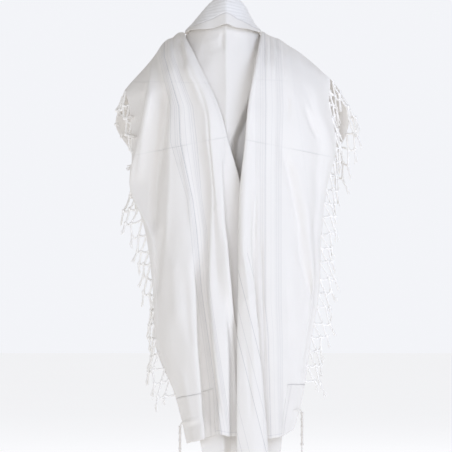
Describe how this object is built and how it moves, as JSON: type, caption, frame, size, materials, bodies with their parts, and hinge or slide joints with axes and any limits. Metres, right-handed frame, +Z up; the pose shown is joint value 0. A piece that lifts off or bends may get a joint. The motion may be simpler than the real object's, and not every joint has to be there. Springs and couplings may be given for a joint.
{
  "type": "tallit prayer shawl",
  "caption": "Large white woollen prayer shawl as worn: collar turned out round the neck, both sides folded back over the shoulders into long fringed wings, knotted corner cords.",
  "frame": {"origin": "where the shoulders carry the cloth: midway between them, at the foot of the neck", "axes": "+Z up as worn, +Y the way the wearer faces (the pictured back faces -Y), +X the wearer's right"},
  "size_m": [0.7552, 0.3328, 1.5289],
  "materials": {
    "wool": "fine white wool with self-coloured woven stripes",
    "ribbed_band": "ribbed woven neckband, white",
    "corner_cloth": "plain woven corner squares, white",
    "fringe_yarn": "twisted and knotted wool yarn, off-white"
  },
  "bodies": {
    "root": {"back_panel": "wool", "collar_fold": "wool", "cord_back_left": "fringe_yarn", "cord_back_right": "fringe_yarn", "cord_front_left": "fringe_yarn", "cord_front_right": "fringe_yarn", "corner_back_left": "corner_cloth", "corner_back_right": "corner_cloth", "corner_front_left": "corner_cloth", "corner_front_right": "corner_cloth", "fringe_left": "fringe_yarn", "fringe_right": "fringe_yarn", "neckband": "ribbed_band", "wing_left": "wool", "wing_right": "wool"}
  },
  "joints": []
}
